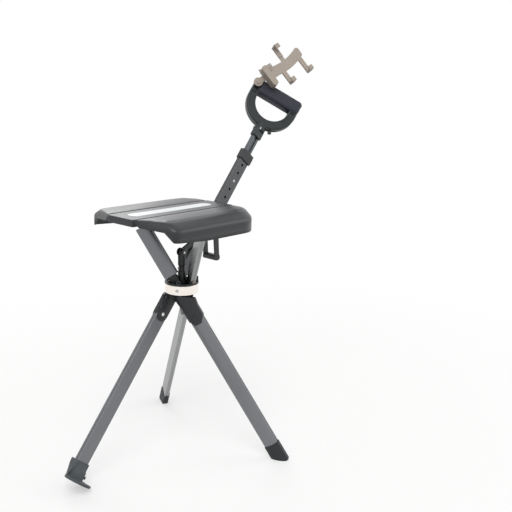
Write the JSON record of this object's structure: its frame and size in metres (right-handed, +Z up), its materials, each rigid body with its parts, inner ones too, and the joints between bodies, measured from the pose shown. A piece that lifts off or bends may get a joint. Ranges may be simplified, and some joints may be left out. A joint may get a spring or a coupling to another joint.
{
  "type": "walking stick seat",
  "caption": "Folding walking stick seat: a tripod of tubes joined in a ring, a hinged seat, and a D handle with a phone clamp and a table hook.",
  "frame": {"origin": "on the ground, under the middle of the opened seat", "axes": "+Z up, -X towards the front of the seat and the main foot, +X towards the handle, +Y towards the far wing"},
  "size_m": [0.6392, 0.4022, 0.8117],
  "materials": {
    "tube": "graphite grey anodised, fine brushed",
    "inner_tube": "grey anodised, satin",
    "casting": "black glass filled nylon, fine texture",
    "seat_plastic": "charcoal moulded plastic, fine texture",
    "rubber": "black moulded rubber",
    "ring_metal": "silver turned and polished",
    "steel": "zinc plated",
    "light_strip": "light grey glossy insert",
    "handle_plastic": "black moulded plastic",
    "soft_grip": "black soft touch rubber",
    "holder_plastic": "warm grey beige moulded plastic",
    "white_plastic": "white moulded plastic"
  },
  "bodies": {
    "main": {"main_leg_tube": "tube", "main_leg_knuckle": "casting", "main_leg_rivet": "steel", "main_pole_tube": "tube", "main_foot_tip": "rubber", "pole_collar": "casting"},
    "hub": {"hub_core": "casting", "hub_leg_pins": "steel", "hub_pin_spacers": "casting", "hub_ring": "ring_metal", "hub_flange": "casting", "fold_stem": "casting", "fold_stem_pin": "steel"},
    "right_leg": {"right_leg_tube": "tube", "right_leg_knuckle": "casting", "right_leg_rivet": "steel", "right_seat_bar": "tube", "right_foot_tip": "rubber"},
    "back_leg": {"back_leg_tube": "tube", "back_leg_knuckle": "casting", "back_leg_rivet": "steel", "back_seat_bar": "tube", "back_foot_tip": "rubber"},
    "stay": {"fold_stay": "casting", "fold_stay_pin": "steel"},
    "carrier": {"seat_carrier": "casting"},
    "seat": {"seat_centre_panel": "seat_plastic", "seat_light_strip": "light_strip", "seat_hinge_pins": "steel"},
    "wing_far": {"seat_wing_far": "seat_plastic"},
    "wing_near": {"seat_wing_near": "seat_plastic"},
    "pull_loop": {"pull_loop": "casting"},
    "handle": {"handle_inner_tube": "inner_tube", "handle_body": "handle_plastic", "handle_grip": "soft_grip", "grip_screws": "steel", "socket_screw": "white_plastic", "phone_holder_pin": "steel", "table_hook_pin": "steel"},
    "snap_button": {"snap_button": "white_plastic"},
    "holder": {"phone_holder_arm": "holder_plastic", "phone_holder_clamp": "holder_plastic", "phone_holder_screw": "steel"},
    "holder_claw": {"phone_holder_claw": "holder_plastic"},
    "hook": {"table_hook": "casting"}
  },
  "joints": [
    {"name": "fold", "type": "hinge", "parent": "main", "child": "hub", "pos_m": [-0.04224, 0.00759, 0.334], "axis": [0, 1, 0], "range_deg": [0, 39]},
    {"name": "right_leg_fold", "type": "hinge", "parent": "hub", "child": "right_leg", "pos_m": [-0.04224, 0.00759, 0.334], "axis": [0.866, 0.5, 0], "range_deg": [0, 32.52]},
    {"name": "back_leg_fold", "type": "hinge", "parent": "hub", "child": "back_leg", "pos_m": [-0.04224, 0.00759, 0.334], "axis": [-0.866, 0.5, 0], "range_deg": [0, 32.52]},
    {"name": "stay_fold", "type": "hinge", "parent": "hub", "child": "stay", "pos_m": [-0.04224, 0.00759, 0.404], "axis": [0, -1, 0], "range_deg": [0, 64.2]},
    {"name": "carrier_slide", "type": "slide", "parent": "main", "child": "carrier", "axis": [0.6293, 0, 0.7771], "range_m": [0, 0.12506]},
    {"name": "seat_fold", "type": "hinge", "parent": "carrier", "child": "seat", "pos_m": [0.05216, 0.02524, 0.45057], "axis": [0, -1, 0], "range_deg": [0, 51.02]},
    {"name": "wing_far_fold", "type": "hinge", "parent": "seat", "child": "wing_far", "pos_m": [-0.04224, 0.04259, 0.482], "axis": [-1, 0, 0], "range_deg": [0, 90.05]},
    {"name": "wing_near_fold", "type": "hinge", "parent": "seat", "child": "wing_near", "pos_m": [-0.04224, -0.02741, 0.482], "axis": [1, 0, 0], "range_deg": [0, 90.05]},
    {"name": "pull_loop_swing", "type": "hinge", "parent": "carrier", "child": "pull_loop", "pos_m": [0.05216, 0.02524, 0.45057], "axis": [0, -1, 0], "range_deg": [0, 86.1]},
    {"name": "handle_height", "type": "slide", "parent": "main", "child": "handle", "axis": [0.6293, 0, 0.7771], "range_m": [-0.04, 0.04]},
    {"name": "button_press", "type": "slide", "parent": "main", "child": "snap_button", "axis": [0, 1, 0], "range_m": [0, 0.0018], "stiffness_N_per_m": 300},
    {"name": "holder_swing", "type": "hinge", "parent": "handle", "child": "holder", "pos_m": [0.22296, 0.05805, 0.72145], "axis": [0.5099, 0.7547, -0.4129], "range_deg": [-15, 128]},
    {"name": "claw_slide", "type": "slide", "parent": "holder", "child": "holder_claw", "axis": [0.2656, -0.5946, -0.7589], "range_m": [-0.008, 0.008]},
    {"name": "hook_swing", "type": "hinge", "parent": "handle", "child": "hook", "pos_m": [0.28161, -0.00756, 0.67396], "axis": [-0.5099, -0.7547, 0.4129], "range_deg": [0, 90]}
  ],
  "couplings": [
    {"joint": "right_leg_fold", "follows": "fold", "ratio": 0.83333},
    {"joint": "back_leg_fold", "follows": "fold", "ratio": 0.83333},
    {"joint": "stay_fold", "follows": "fold", "ratio": 1.6436},
    {"joint": "carrier_slide", "follows": "fold", "m_per_rad": 0.18364},
    {"joint": "seat_fold", "follows": "fold", "ratio": 1.3077},
    {"joint": "wing_far_fold", "follows": "fold", "ratio": 2.3077},
    {"joint": "wing_near_fold", "follows": "fold", "ratio": 2.3077},
    {"joint": "pull_loop_swing", "follows": "fold", "ratio": 2.2051}
  ]
}
